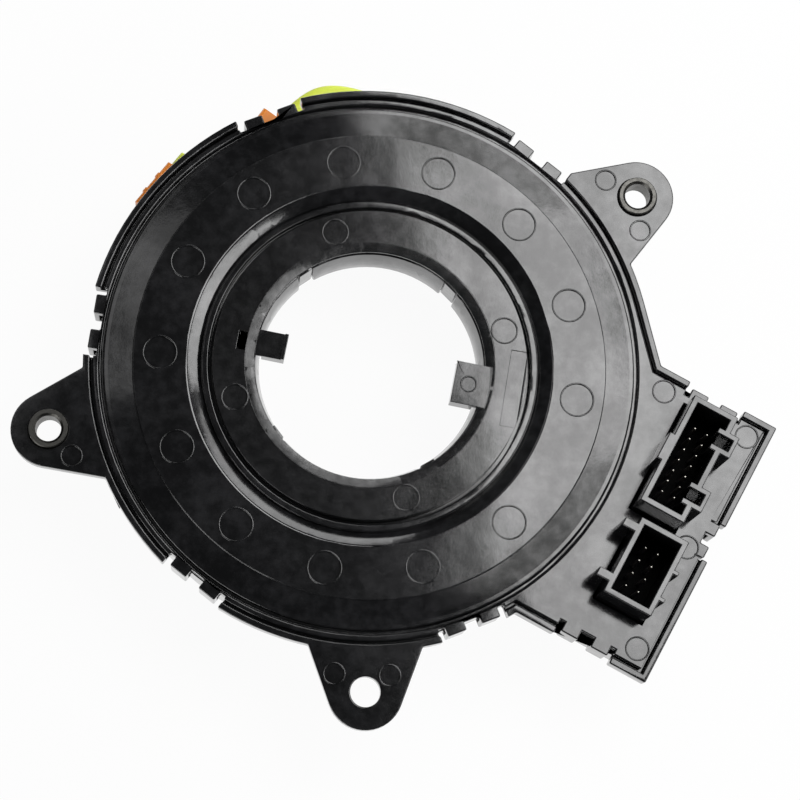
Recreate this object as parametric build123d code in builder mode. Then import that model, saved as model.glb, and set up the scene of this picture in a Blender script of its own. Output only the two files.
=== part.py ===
from build123d import *
from math import cos, degrees, hypot, radians, sin, sqrt, tan
import os

# Steering clock spring, in millimetres. The part lies on its front side with its rear face up.
# The origin is on the turning axis, at the front end of the hub, and +Z points to the rear.

# Levels of the stator
collar_height = 9.5      # from the front end of the hub to the front face of the case
case_height = 16.5       # depth of the case
front_ring_t = 1.8       # thickness of the case's front ring and box floor
cover_t = 2.0            # thickness of the rear cover's plate

# Case, seen from the rear
case_r = 55.0
case_wall = 1.3
case_rim_t = 2.0         # seat of the cover: the case is wider from here to the rim
case_rim_out = 3.0       # how far the rim stands out from the walls below it
front_ring_w = 7.6       # from the rim's outer face to the front ring's opening
flat_wall_angle = 13.8   # where the straight wall leaves the ring on its way to the box
window_width = 14.0      # opening from the cable space to the connector box
window_height = 10.0

# Connector box, on a plane turned by this angle: X outward, Y along its outer wall
box_angle = -28.5
box_depth = 19.7         # from the ring's outer face to the box's outer wall
box_top = 27.4
box_bottom = -28.5

# Mounting ears: direction, and the two directions where the ear leaves the ring
ear_out = 7.6            # from the ring's outer face to the ear's hole
ear_tip_r = 7.2
ear_t = 3.0
ear_rib_t = 2.0
ear_rib_depth = 9.0
ear_rib_end = 1.0        # from the end of the rib to the bush
right_ear = (33.1, 21.7, 45.3)
left_ear = (192.2, 180.8, 204.5)
bottom_ear = (269.2, 257.3, 280.9)
plain_hole_r = 2.85
bush_bore_r = 2.45
bush_wall = 1.25
bush_above = 1.1         # how far a bush stands above its ear
bush_below = 1.4
bush_fit = 0.02

# Snap stations: breaks in the rim where the cover's arms hook on the case
station_gap = 0.1        # from the walls below the rim to the breaks
ring_station_angle = 51.5
ring_station_step = 60.0
ring_station_count = 5
ring_break = 13.4
ring_arm_w = 3.75
ring_arm_off = 3.45
box_break = 11.8
box_arm_w = 3.6
box_arm_off = 3.15
box_top_station = 6.8    # from the ring's outer face, along the box's walls
box_bottom_station = 6.0
end_break = 7.6
end_arm_w = 2.4
end_arm_off = 2.3
end_station = 1.5
arm_t = 1.1
arm_set_back = 1.0       # from the wall's outer face to the arm's
arm_length = 5.5
arm_foot = 1.9           # how far an arm's foot reaches into the cover
barb_reach = 0.7
barb_t = 1.2
snap_gap = 0.2

# Rear cover
cover_gap = 0.6
rim_w = 3.0              # flat rim outside the groove
groove_w = 0.9
slope_w = 5.6            # sloped edge of the disc
funnel_outer_r = 35.2
funnel_inner_r = 32.4
cover_bore_r = 31.05
disc_rise = 0.9          # the disc's face above the rim
step_drop = 0.35
disc_edge_rise = 0.15
groove_depth = 1.3
funnel_drop = 0.9
lip_rise = 0.1
mark_depth = 0.2
disc_mark_r = 3.2
disc_mark_start = -9.4
disc_mark_step = 26.7
disc_mark_count = 13
plate_mark_r = 2.2
plate_marks = [(-22.5, 23.1), (-4.4, 23.0), (-4.8, -1.7), (-4.3, -23.5)]  # from the outer wall
ear_mark_r = 2.0
ear_mark_out = 4.6
ear_mark_angles = [39.0, 27.4, 197.9, 263.5, 273.6]

# Hub
hub_bore_r = 21.3
hub_mouth = 0.8          # widening at the rear end of the bore
hub_tube_t = 2.0
recess_gap = 1.1         # from the sleeve's skirt to the hub's inner wall
hub_wall = 1.6
land_drop = 8.5          # from the rim down to the front end of the narrow bore
land_length = 3.0
web_t = 2.1
tube_drop = 1.1          # from the rim down to the rear end of the tube
flange_face_z = 9.9
flange_t = 3.4
flange_run = 0.7         # running gap inside the front ring
flange_lap = 2.2         # how far the lip reaches behind the front ring
axial_gap = 0.4
pocket_count = 16
pocket_depth = 1.6
pocket_in = 2.6          # from the collar to the pockets
pocket_out = 2.1         # from the pockets to the flange's edge
pocket_rib = 1.6
notch_angles = [44.5, 124.5, 217.0, 300.0]
notch_w = 3.4
notch_gap = 0.25
notch_out = 0.5          # the openings go past the tube into the web

# Rear sleeve
sleeve_rise = 1.0        # its face above the rim
sleeve_gap = 0.75        # running gap inside the cover
sleeve_wall = 1.6
sleeve_skirt_t = 1.4
sleeve_skirt_length = 5.4
sleeve_fit = 0.2
sleeve_lip_out = 1.0     # from the bore to the sleeve's inner lip
sleeve_lip_t = 0.7
sleeve_edge_w = 1.8      # chamfer from the lip up to the face
sleeve_foot_w = 1.8
sleeve_foot_t = 0.8
foot_gap = 0.3
tongue_out = 0.5         # from the bore to the tongues
tongue_lap = 0.6
hook_t = 1.0
hook_reach = 1.0
hook_inset = 0.1         # from the web's front face to the hook
tab_angle = 169.0
tab_reach = 16.4
narrow_tab_w = 5.1
wide_tab_w = 8.2
tab_plate_t = 1.4
tab_web_depth = 2.6
tab_web_gap = 0.5
tab_web_lap = 0.1
narrow_tab_drop = 0.7
sleeve_mark_r = 2.5
sleeve_mark_out = 3.5    # from the tube to the marks
sleeve_mark_start = 14.7
tab_mark_r = 1.5
tab_mark_place = 19.3
key_slot_out_tube = 1.7  # from the tube to the slot
key_slot_angle = 170.1
key_slot_w = 1.7
key_slot_l = 3.6
pad_angle = 350.5
pad_place = 28.0
pad_l = 15.0
pad_w = 3.2

# Flat cable and its two ends
cable_t = 0.3
cable_under = 0.3        # from the cable to the sleeve's foot
cable_over = 0.5         # from the front slip sheet to the cable
cable_first_gap = 1.7    # from the collar to the first turn
cable_last_gap = 1.15    # from the last turn to the wall
cable_turns = 9
clamp_angle = -34.5      # both clamps meet the cable's ends in this direction
clamp_spread = 12.0
clamp_gap = 0.1
clamp_depth = 3.2
sheet_t = 0.3
sheet_edge = 0.6         # from the sheets to the flange lip's edge
sheet_inner_gap = 1.8    # from the sleeve's foot or the clamp to a sheet

# Plug-in headers on the connector plate: X and Y from the axis, and size, on the box's plane
header_wall = 1.2
header_above = 10.5      # rim of a header above the plate
header_flange = 1.2
header_flange_t = 2.4
header_depth = 13.0      # from a header's rim to its floor
header_gap = 0.3
upper_out = 2.0          # from the ring's outer face to the header
upper_y = -0.1
upper_w = 9.3
upper_l = 22.9
lower_out = 3.8
lower_y = -18.7
lower_w = 10.1
lower_l = 15.9
pin_w = 0.64
pin_gap = 0.05
pin_tip_rise = 5.4       # tips above the cover's rim
upper_pin_pitch = 2.3
upper_pin_count = 7
lower_pin_pitch = 2.7
lower_pin_count = 4
pin_row_gap = 2.6
key_rib_w = 5.6
key_rib_out = 0.9
key_slot_half = 1.15
key_slot_out = 2.0
key_slot_wall = 0.9
key_slot_floor_t = 0.4
key_slot_places = [5.5, 17.3]
guide_rib_t = 1.1
guide_rib_in = 1.2
rib_lap = 0.1
t_rib_places = [3.0, 13.6]
t_rib_out = 2.6
t_rib_w = 1.7
peg_places = [3.8, 9.5]
peg_out = 1.0
peg_w = 0.9
carrier_t = 2.5
carrier_edge = 1.0
carrier_gap = 0.3

# Socket of the steering-wheel switches, on the flange's front face
socket_angle = 205.0
socket_l = 24.0
socket_w = 11.0
socket_wall = 1.3
socket_floor = 1.6
socket_pin_count = 8
socket_pin_pitch = 2.4
socket_pin_tip_z = 4.9

# Airbag leads, on the floor beside the hub, with their outlet and plugs
lead_r = 1.7
outlet_angle = 320.0
outlet_l = 13.0
outlet_w = 12.0
outlet_foot = 0.4
outlet_round = 1.5
lead_spacing = 5.2
plug_l = 10.5
plug_w = 8.6
plug_h = 8.2
plug_edge = 0.9
plug_rib = 0.5
plug_rib_t = 1.0
lock_l = 3.6
lock_w = 7.4
lock_h = 6.8
lock_lift = 0.3
plug_a_angle = 112.0
plug_a_place = 53.8
plug_a_turn = 234.0      # direction of the plug's nose
plug_b_angle = 136.0
plug_b_place = 55.0
plug_b_turn = 52.0
lead_a_start = 12.0      # straight runs at the outlet and at the plugs
lead_b_start = 11.0
lead_a_end = 8.5
lead_b_end = 9.5
arc_share = 0.45         # share of a run that each bend takes

# What follows from the sizes above
case_front_z = collar_height
case_floor_z = case_front_z + front_ring_t
rim_z = case_front_z + case_height
cover_z = rim_z - cover_t
rim_low_z = cover_z - case_rim_t
skirt_r = case_r - case_rim_out
skirt_inner_r = skirt_r - case_wall
station_depth = case_rim_out - station_gap
front_ring_r = case_r - front_ring_w
box_reach = case_r + box_depth
ear_reach = case_r + ear_out
groove_outer_r = case_r - rim_w
disc_r = groove_outer_r - groove_w
step_r = disc_r - slope_w
disc_mark_place = (funnel_outer_r + step_r) / 2
hub_mouth_r = hub_bore_r + hub_mouth
hub_tube_r = hub_bore_r + hub_tube_t
recess_r = hub_tube_r + sleeve_fit + sleeve_skirt_t + recess_gap
hub_r = recess_r + hub_wall
land_z = rim_z - land_drop
hub_tube_top = rim_z - tube_drop
flange_r = front_ring_r - flange_run
flange_lip_r = front_ring_r + flange_lap
flange_middle_r = (hub_r + flange_r) / 2
pocket_inner_r = hub_r + pocket_in
pocket_outer_r = flange_r - pocket_out
flange_top = flange_face_z + flange_t
lip_z = case_floor_z + axial_gap
sleeve_z = rim_z + sleeve_rise
sleeve_r = cover_bore_r - sleeve_gap
sleeve_lip_r = hub_bore_r + sleeve_lip_out
sleeve_edge_r = sleeve_lip_r + sleeve_edge_w
sleeve_foot_r = sleeve_r + sleeve_foot_w
sleeve_mark_place = hub_tube_r + sleeve_mark_out
tongue_in_r = hub_bore_r + tongue_out
hook_r = hub_tube_r + hook_reach
key_slot_place = hub_tube_r + key_slot_out_tube
bush_r = bush_bore_r + bush_wall
cable_z = flange_top + sheet_t + cable_over
cable_width = cover_z - foot_gap - sleeve_foot_t - cable_under - cable_z
cable_start_r = hub_r + cable_first_gap
cable_end_r = skirt_inner_r - cable_last_gap
cable_pitch = (cable_end_r - cable_start_r) / cable_turns
sheet_outer_r = flange_lip_r - sheet_edge
sheet_inner_r = sleeve_foot_r + sheet_inner_gap
front_sheet_inner_r = hub_r + clamp_depth + sheet_inner_gap
upper_x = case_r + upper_out
lower_x = case_r + lower_out
header_top = rim_z + header_above
header_floor_z = header_top - header_depth
pin_tip_z = rim_z + pin_tip_rise


def polar(radius, angle):
    """Point at a radius and direction from the axis."""
    return (radius * cos(radians(angle)), radius * sin(radians(angle)))


def level(z):
    """Horizontal plane at a height."""
    return Plane.XY.offset(z)


def box_level(z):
    """Horizontal plane at a height, turned like the connector box."""
    return Plane(origin=(0, 0, z), x_dir=polar(1, box_angle) + (0,), z_dir=(0, 0, 1))


def box_point(x, y):
    """Point given on the connector box's plane."""
    point = Vector(x, y).rotate(Axis.Z, box_angle)
    return (point.X, point.Y)


def outline(z, inset):
    """Outline of ring and box at a height, moved inward from the outer face."""
    ring = case_r - inset
    turn = radians(flat_wall_angle - box_angle)
    top = box_top - inset
    bottom = box_bottom + inset
    reach = box_reach - inset
    corner = (ring - top * sin(turn)) / cos(turn)
    with BuildSketch(box_level(z)) as face:
        Circle(ring)
        with BuildLine():
            Polyline(
                (ring * cos(turn), ring * sin(turn)),
                (corner, top),
                (reach, top),
                (reach, bottom),
                (sqrt(ring**2 - bottom**2), bottom),
                (0, 0),
                close=True,
            )
        make_face()
    return face.sketch


def section(points):
    """Half section beside the axis from radius and height pairs."""
    with BuildSketch(Plane.XZ) as face:
        with BuildLine():
            Polyline(*points, close=True)
        make_face()
    return face.sketch


def sector(z, inner, outer, first, last):
    """Ring sector at a height, between two directions."""
    with BuildSketch(level(z)) as face:
        with BuildLine():
            CenterArc((0, 0), inner, first, last - first)
            CenterArc((0, 0), outer, first, last - first)
            Line(polar(inner, first), polar(outer, first))
            Line(polar(inner, last), polar(outer, last))
        make_face()
    return face.sketch


def turned_place(radius, angle):
    """Place at a radius, turned so that its X looks away from the axis."""
    return Location(polar(radius, angle) + (0,), (0, 0, angle))


def box_place(x, y, turn):
    """Place on the connector box's plane."""
    return Location(box_point(x, y) + (0,), (0, 0, box_angle + turn))


# Snap stations: place of the wall's outer face, break width, arm width, arm offset
stations = [
    (
        turned_place(case_r, ring_station_angle + k * ring_station_step),
        ring_break, ring_arm_w, ring_arm_off,
    )
    for k in range(ring_station_count)
]
box_stations = [
    (case_r + box_top_station, box_top, 90, box_break, box_arm_w, box_arm_off),
    (case_r + box_bottom_station, box_bottom, -90, box_break, box_arm_w, box_arm_off),
    (box_reach, end_station, 0, end_break, end_arm_w, end_arm_off),
]
for x, y, turn, gap, arm_w, arm_off in box_stations:
    stations.append((box_place(x, y, turn), gap, arm_w, arm_off))

ears = [(right_ear, bush_r + bush_fit), (left_ear, bush_r + bush_fit), (bottom_ear, plain_hole_r)]
barb_z = cover_z - arm_length
ledge_z = barb_z + barb_t + snap_gap


# Moulded case: ring wall, front ring, ears and connector box
with BuildPart() as stator_case:
    extrude(outline(case_front_z, case_rim_out), amount=case_height)
    extrude(outline(rim_low_z, 0), amount=rim_z - rim_low_z)
    for (direction, first, last), hole in ears:
        with BuildSketch(level(rim_z - ear_t)):
            with BuildLine():
                CenterArc(polar(ear_reach, direction), ear_tip_r, 0, 360)
                Line(polar(case_r - case_wall / 2, first), polar(case_r - case_wall / 2, last))
            make_hull()
        extrude(amount=ear_t)
        # Gusset between the ear's front face and the wall
        with BuildSketch(Plane.XZ.rotated((0, 0, direction))):
            with BuildLine():
                Polyline(
                    (skirt_inner_r, rim_z - ear_t),
                    (ear_reach - bush_r - ear_rib_end, rim_z - ear_t),
                    (skirt_inner_r, rim_z - ear_t - ear_rib_depth),
                    close=True,
                )
            make_face()
        extrude(amount=ear_rib_t / 2, both=True)
    # Cable space and box inside
    extrude(outline(case_floor_z, case_rim_out + case_wall), amount=case_height, mode=Mode.SUBTRACT)
    extrude(outline(cover_z, case_wall), amount=case_height, mode=Mode.SUBTRACT)
    with BuildSketch(level(case_front_z)):
        Circle(front_ring_r)
    extrude(amount=front_ring_t, mode=Mode.SUBTRACT)
    # The ring wall goes on between the cable space and the box, under the cover
    with BuildSketch(level(case_front_z)):
        Circle(skirt_r)
        Circle(skirt_inner_r, mode=Mode.SUBTRACT)
    extrude(amount=cover_z - case_front_z)
    with BuildSketch(box_level(case_floor_z)):
        with Locations((skirt_r, 0)):
            Rectangle(4 * case_wall, window_width)
    extrude(amount=window_height, mode=Mode.SUBTRACT)
    # Breaks of the rim at the snap stations, and the ledges on the walls below them
    for place, gap, arm_w, arm_off in stations:
        with BuildSketch(level(case_front_z)):
            with Locations(place):
                Rectangle(2 * station_depth, gap)
        extrude(amount=case_height, mode=Mode.SUBTRACT)
        with BuildSketch(level(ledge_z)):
            with Locations(place):
                with Locations((-station_depth, arm_off), (-station_depth, -arm_off)):
                    Rectangle(2 * (barb_reach - snap_gap / 2), arm_w)
        extrude(amount=barb_t)
    # Bores of the ears and the marks of the ejector pins
    for (direction, first, last), hole in ears:
        with BuildSketch(level(rim_z - ear_t - ear_rib_depth)):
            with Locations(polar(ear_reach, direction)):
                Circle(hole)
        extrude(amount=case_height, mode=Mode.SUBTRACT)
    with BuildSketch(level(rim_z)):
        for angle in ear_mark_angles:
            with Locations(polar(case_r + ear_mark_out, angle)):
                Circle(ear_mark_r)
    extrude(amount=-mark_depth, mode=Mode.SUBTRACT)
stator_case.part.label = "stator_case"

# Metal bushes of the two side ears
with BuildPart() as right_ear_bush:
    with BuildSketch(level(rim_z - ear_t - bush_below)):
        with Locations(polar(ear_reach, right_ear[0])):
            Circle(bush_r)
            Circle(bush_bore_r, mode=Mode.SUBTRACT)
    extrude(amount=bush_below + ear_t + bush_above)
right_ear_bush.part.label = "right_ear_bush"

with BuildPart() as left_ear_bush:
    with BuildSketch(level(rim_z - ear_t - bush_below)):
        with Locations(polar(ear_reach, left_ear[0])):
            Circle(bush_r)
            Circle(bush_bore_r, mode=Mode.SUBTRACT)
    extrude(amount=bush_below + ear_t + bush_above)
left_ear_bush.part.label = "left_ear_bush"


# Rear cover: plate with raised disc, groove, funnel and lip, header openings and snap arms
with BuildPart() as rear_cover:
    extrude(outline(cover_z, case_wall + cover_gap), amount=cover_t)
    with BuildSketch(level(cover_z)):
        Circle(groove_outer_r)
    extrude(amount=cover_t, mode=Mode.SUBTRACT)
    cover_section = section([
        (cover_bore_r, cover_z),
        (cover_bore_r, rim_z + lip_rise),
        (funnel_inner_r, rim_z + lip_rise),
        (funnel_inner_r, rim_z - funnel_drop),
        (funnel_outer_r, rim_z + disc_rise),
        (step_r, rim_z + disc_rise),
        (step_r, rim_z + disc_rise - step_drop),
        (disc_r, rim_z + disc_edge_rise),
        (disc_r, rim_z - groove_depth),
        (groove_outer_r, rim_z - groove_depth),
        (groove_outer_r, cover_z),
    ])
    revolve(cover_section, axis=Axis.Z)
    for place, gap, arm_w, arm_off in stations:
        with BuildSketch(level(cover_z)):
            with Locations(place):
                Rectangle(2 * station_depth, gap)
        extrude(amount=cover_t, mode=Mode.SUBTRACT)
        # Two arms a station, each with a barb under the case's ledge
        with BuildSketch(level(cover_z)):
            with Locations(place):
                with Locations((-arm_set_back, arm_off), (-arm_set_back, -arm_off)):
                    Rectangle(arm_foot, arm_w, align=(Align.MAX, Align.CENTER))
        extrude(amount=cover_t)
        with BuildSketch(level(barb_z)):
            with Locations(place):
                with Locations((-arm_set_back, arm_off), (-arm_set_back, -arm_off)):
                    Rectangle(arm_t, arm_w, align=(Align.MAX, Align.CENTER))
        extrude(amount=arm_length)
        with BuildSketch(level(barb_z)):
            with Locations(place):
                with Locations((-arm_set_back, arm_off), (-arm_set_back, -arm_off)):
                    Rectangle(arm_t + barb_reach, arm_w, align=(Align.MAX, Align.CENTER))
        extrude(amount=barb_t)
    with BuildSketch(box_level(cover_z)):
        with Locations((upper_x - header_gap, upper_y - header_gap)):
            Rectangle(
                upper_w + 2 * header_gap, upper_l + 2 * header_gap, align=(Align.MIN, Align.MIN)
            )
        with Locations((lower_x - header_gap, lower_y - header_gap)):
            Rectangle(
                lower_w + 2 * header_gap, lower_l + 2 * header_gap, align=(Align.MIN, Align.MIN)
            )
    extrude(amount=cover_t, mode=Mode.SUBTRACT)
    with BuildSketch(level(rim_z + disc_rise)):
        for k in range(disc_mark_count):
            with Locations(polar(disc_mark_place, disc_mark_start + k * disc_mark_step)):
                Circle(disc_mark_r)
    extrude(amount=-mark_depth, mode=Mode.SUBTRACT)
    with BuildSketch(box_level(rim_z)):
        for x, y in plate_marks:
            with Locations((box_reach + x, y)):
                Circle(plate_mark_r)
    extrude(amount=-mark_depth, mode=Mode.SUBTRACT)
rear_cover.part.label = "rear_cover"


def header_body(x, y, width, length):
    """Shroud with its floor and the flange that holds it under the cover."""
    with BuildSketch(box_level(cover_z - header_flange_t)) as body:
        with Locations((x, y)):
            Rectangle(width, length, align=(Align.MIN, Align.MIN))
    extrude(body.sketch, amount=header_top - cover_z + header_flange_t)
    with BuildSketch(box_level(cover_z - header_flange_t)) as flange:
        with Locations((x + width / 2, y + length / 2)):
            Rectangle(width + 2 * header_flange, length)
    extrude(flange.sketch, amount=header_flange_t - clamp_gap)
    with BuildSketch(box_level(header_floor_z)) as socket:
        with Locations((x + header_wall, y + header_wall)):
            Rectangle(
                width - 2 * header_wall, length - 2 * header_wall, align=(Align.MIN, Align.MIN)
            )
    extrude(socket.sketch, amount=header_top, mode=Mode.SUBTRACT)


def pin_places(x, y, width, length, count, pitch):
    """Centres of the two rows of pins of a header."""
    rows = [x + width / 2 - pin_row_gap / 2, x + width / 2 + pin_row_gap / 2]
    first = y + length / 2 - (count - 1) * pitch / 2
    return [(row, first + k * pitch) for row in rows for k in range(count)]


upper_pins = pin_places(upper_x, upper_y, upper_w, upper_l, upper_pin_count, upper_pin_pitch)
lower_pins = pin_places(lower_x, lower_y, lower_w, lower_l, lower_pin_count, lower_pin_pitch)
carrier_top = case_floor_z + carrier_t

with BuildPart() as upper_header:
    header_body(upper_x, upper_y, upper_w, upper_l)
    # Key rib outside the inner wall, and two keyways with guide ribs in the outer wall
    with BuildSketch(box_level(rim_z)):
        with Locations((upper_x - key_rib_out, upper_y + upper_l / 2)):
            Rectangle(key_rib_out + header_wall, key_rib_w, align=(Align.MIN, Align.CENTER))
    extrude(amount=header_above)
    with BuildSketch(box_level(rim_z)):
        for offset in key_slot_places:
            with Locations((upper_x + upper_w - header_wall, upper_y + offset)):
                Rectangle(
                    header_wall + key_slot_out,
                    2 * (key_slot_half + guide_rib_t),
                    align=(Align.MIN, Align.CENTER),
                )
            beside = key_slot_half + guide_rib_t / 2
            for side in (-beside, beside):
                with Locations((upper_x + upper_w - header_wall + rib_lap, upper_y + offset + side)):
                    Rectangle(guide_rib_in + rib_lap, guide_rib_t, align=(Align.MAX, Align.CENTER))
    extrude(amount=header_above)
    with BuildSketch(box_level(rim_z + key_slot_floor_t)):
        for offset in key_slot_places:
            with Locations((upper_x + upper_w - header_wall, upper_y + offset)):
                Rectangle(
                    header_wall + key_slot_out - key_slot_wall,
                    2 * key_slot_half,
                    align=(Align.MIN, Align.CENTER),
                )
    extrude(amount=header_top, mode=Mode.SUBTRACT)
    with BuildSketch(box_level(cover_z - header_flange_t)):
        with Locations(*upper_pins):
            Rectangle(pin_w + 2 * pin_gap, pin_w + 2 * pin_gap)
    extrude(amount=header_top, mode=Mode.SUBTRACT)
upper_header.part.label = "upper_header"

with BuildPart() as lower_header:
    header_body(lower_x, lower_y, lower_w, lower_l)
    with BuildSketch(box_level(rim_z)):
        for offset in t_rib_places:
            with Locations((lower_x - t_rib_out, lower_y + offset)):
                Rectangle(t_rib_out + header_wall, t_rib_w, align=(Align.MIN, Align.CENTER))
        for offset in peg_places:
            with Locations((lower_x + lower_w + peg_out, lower_y + offset)):
                Rectangle(peg_out + header_wall, peg_w, align=(Align.MAX, Align.CENTER))
    extrude(amount=header_above)
    with BuildSketch(box_level(cover_z - header_flange_t)):
        with Locations(*lower_pins):
            Rectangle(pin_w + 2 * pin_gap, pin_w + 2 * pin_gap)
    extrude(amount=header_top, mode=Mode.SUBTRACT)
lower_header.part.label = "lower_header"

with BuildPart() as upper_header_pins:
    with BuildSketch(box_level(carrier_top)):
        with Locations(*upper_pins):
            Rectangle(pin_w, pin_w)
    extrude(amount=pin_tip_z - carrier_top)
upper_header_pins.part.label = "upper_header_pins"

with BuildPart() as lower_header_pins:
    with BuildSketch(box_level(carrier_top)):
        with Locations(*lower_pins):
            Rectangle(pin_w, pin_w)
    extrude(amount=pin_tip_z - carrier_top)
lower_header_pins.part.label = "lower_header_pins"

# Moulded plate on the box's floor that carries the feet of the pins
with BuildPart() as terminal_carrier:
    with BuildSketch(box_level(case_floor_z)):
        with Locations((skirt_r + carrier_gap, lower_y)):
            Rectangle(
                lower_x + lower_w + carrier_edge - skirt_r - carrier_gap,
                upper_y + upper_l - lower_y,
                align=(Align.MIN, Align.MIN),
            )
    extrude(amount=carrier_t)
terminal_carrier.part.label = "terminal_carrier"


# Hub: collar, ribbed flange with a lip inside the case, and the narrow bore at the rear
web_top = land_z + web_t
with BuildPart() as rotor_hub:
    hub_section = section([
        (recess_r, 0),
        (hub_r, 0),
        (hub_r, flange_face_z),
        (flange_r, flange_face_z),
        (flange_r, lip_z),
        (flange_lip_r, lip_z),
        (flange_lip_r, flange_top),
        (hub_r, flange_top),
        (hub_r, cable_z + cable_width),
        (recess_r, cable_z + cable_width),
        (recess_r, web_top),
        (hub_tube_r, web_top),
        (hub_tube_r, hub_tube_top),
        (hub_mouth_r, hub_tube_top),
        (hub_bore_r, land_z + land_length),
        (hub_bore_r, land_z),
        (recess_r, land_z),
    ])
    revolve(hub_section, axis=Axis.Z)
    # Openings in the rear tube for the sleeve's tongues, and the keyhole in the web
    with BuildSketch(level(land_z)):
        for angle in notch_angles:
            with Locations(turned_place(hub_bore_r, angle)):
                Rectangle(2 * (hub_tube_t + notch_out), notch_w)
        with Locations(turned_place(key_slot_place, key_slot_angle)):
            Rectangle(key_slot_w, 2 * key_slot_l)
    extrude(amount=case_height, mode=Mode.SUBTRACT)
    # Pockets in the web's front face for the hooks
    with BuildSketch(level(land_z)):
        for angle in notch_angles:
            with Locations(turned_place(hub_bore_r, angle)):
                Rectangle(2 * (hook_r + foot_gap - hub_bore_r), notch_w)
    extrude(amount=hook_inset + hook_t + foot_gap, mode=Mode.SUBTRACT)
    # Pockets between the ribs of the front face, apart from the seats of socket and outlet
    pocket_step = 360 / pocket_count
    half_rib = degrees(pocket_rib / 2 / pocket_inner_r)
    for k in range(pocket_count):
        first = k * pocket_step
        middle = first + pocket_step / 2
        from_socket = abs((middle - socket_angle + 180) % 360 - 180)
        from_outlet = abs((middle - outlet_angle + 180) % 360 - 180)
        if from_socket > 1.3 * pocket_step and from_outlet > pocket_step:
            pocket = sector(
                flange_face_z, pocket_inner_r, pocket_outer_r,
                first + half_rib, first + pocket_step - half_rib,
            )
            extrude(pocket, amount=pocket_depth, mode=Mode.SUBTRACT)
rotor_hub.part.label = "rotor_hub"


# Rear sleeve: ring inside the cover, with drive tabs, tongues, a key slot and a bare pad
skirt_in_r = hub_tube_r + sleeve_fit
foot_top = cover_z - foot_gap
lip_z_low = hub_tube_top + foot_gap
with BuildPart() as rear_sleeve:
    sleeve_section = section([
        (sleeve_lip_r, lip_z_low),
        (sleeve_lip_r, lip_z_low + sleeve_lip_t),
        (sleeve_edge_r, sleeve_z),
        (sleeve_r, sleeve_z),
        (sleeve_r, foot_top),
        (sleeve_foot_r, foot_top),
        (sleeve_foot_r, foot_top - sleeve_foot_t),
        (sleeve_r - sleeve_wall, foot_top - sleeve_foot_t),
        (sleeve_r - sleeve_wall, sleeve_z - sleeve_wall),
        (skirt_in_r + sleeve_skirt_t, sleeve_z - sleeve_wall),
        (skirt_in_r + sleeve_skirt_t, lip_z_low - sleeve_skirt_length),
        (skirt_in_r, lip_z_low - sleeve_skirt_length),
        (skirt_in_r, lip_z_low),
    ])
    revolve(sleeve_section, axis=Axis.Z)
    # Tongues that pass through the hub's openings, with hooks in its web
    hook_z = land_z + hook_inset
    for angle in notch_angles:
        with BuildSketch(level(hook_z)):
            with Locations(turned_place(tongue_in_r, angle)):
                Rectangle(
                    hub_tube_r - tongue_in_r - sleeve_fit / 2,
                    notch_w - 2 * notch_gap,
                    align=(Align.MIN, Align.CENTER),
                )
        extrude(amount=lip_z_low - hook_z + tongue_lap)
        with BuildSketch(level(hook_z)):
            with Locations(turned_place(tongue_in_r, angle)):
                Rectangle(
                    hook_r - tongue_in_r,
                    notch_w - 2 * notch_gap,
                    align=(Align.MIN, Align.CENTER),
                )
        extrude(amount=hook_t)
    # Drive tabs: a plate over the hub's end and a web inside its bore
    tabs = [(tab_angle, narrow_tab_w, narrow_tab_drop), (tab_angle + 180, wide_tab_w, 0)]
    for angle, width, drop in tabs:
        place = turned_place(tab_reach, angle)
        with BuildSketch(level(lip_z_low)):
            with Locations(place):
                Rectangle(sleeve_edge_r - tab_reach, width, align=(Align.MIN, Align.CENTER))
        extrude(amount=tab_plate_t - drop)
        with BuildSketch(level(lip_z_low - tab_web_depth)):
            with Locations(place):
                Rectangle(
                    hub_bore_r - tab_reach - tab_web_gap, width, align=(Align.MIN, Align.CENTER)
                )
        extrude(amount=tab_web_depth + tab_web_lap)
    with BuildSketch(level(lip_z_low)):
        with Locations(turned_place(tab_reach, tab_angle)):
            Rectangle(
                tab_plate_t - narrow_tab_drop, narrow_tab_w, align=(Align.MIN, Align.CENTER)
            )
    extrude(amount=tab_plate_t)
    # Key slot, bare pad and ejector marks
    with BuildSketch(level(sleeve_z)):
        with Locations(turned_place(key_slot_place, key_slot_angle)):
            Rectangle(key_slot_w, key_slot_l)
    extrude(amount=-2 * sleeve_skirt_length, mode=Mode.SUBTRACT)
    with BuildSketch(level(sleeve_z)):
        with Locations(turned_place(pad_place, pad_angle)):
            Rectangle(pad_w, pad_l)
        with PolarLocations(sleeve_mark_place, 4, sleeve_mark_start):
            Circle(sleeve_mark_r)
    extrude(amount=-mark_depth, mode=Mode.SUBTRACT)
    with BuildSketch(level(lip_z_low + tab_plate_t)):
        with Locations(polar(tab_mark_place, tab_angle + 180)):
            Circle(tab_mark_r)
    extrude(amount=-mark_depth, mode=Mode.SUBTRACT)
rear_sleeve.part.label = "rear_sleeve"


# Flat cable: a ribbon of half circles whose radius grows by half a pitch each time
with BuildPart() as flat_cable:
    with BuildSketch(level(cable_z)):
        with BuildLine():
            shift = cable_pitch / 4
            for side in (-cable_t / 2, cable_t / 2):
                for half in range(2 * cable_turns):
                    radius = cable_start_r + shift + half * cable_pitch / 2
                    flip = 1 if half % 2 else -1
                    centre = polar(flip * shift, clamp_angle)
                    CenterArc(centre, radius + side, clamp_angle + 180 * half, 180)
            for end in (cable_start_r, cable_end_r):
                Line(
                    polar(end - cable_t / 2, clamp_angle), polar(end + cable_t / 2, clamp_angle)
                )
        make_face()
    extrude(amount=cable_width)
flat_cable.part.label = "flat_cable"


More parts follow.
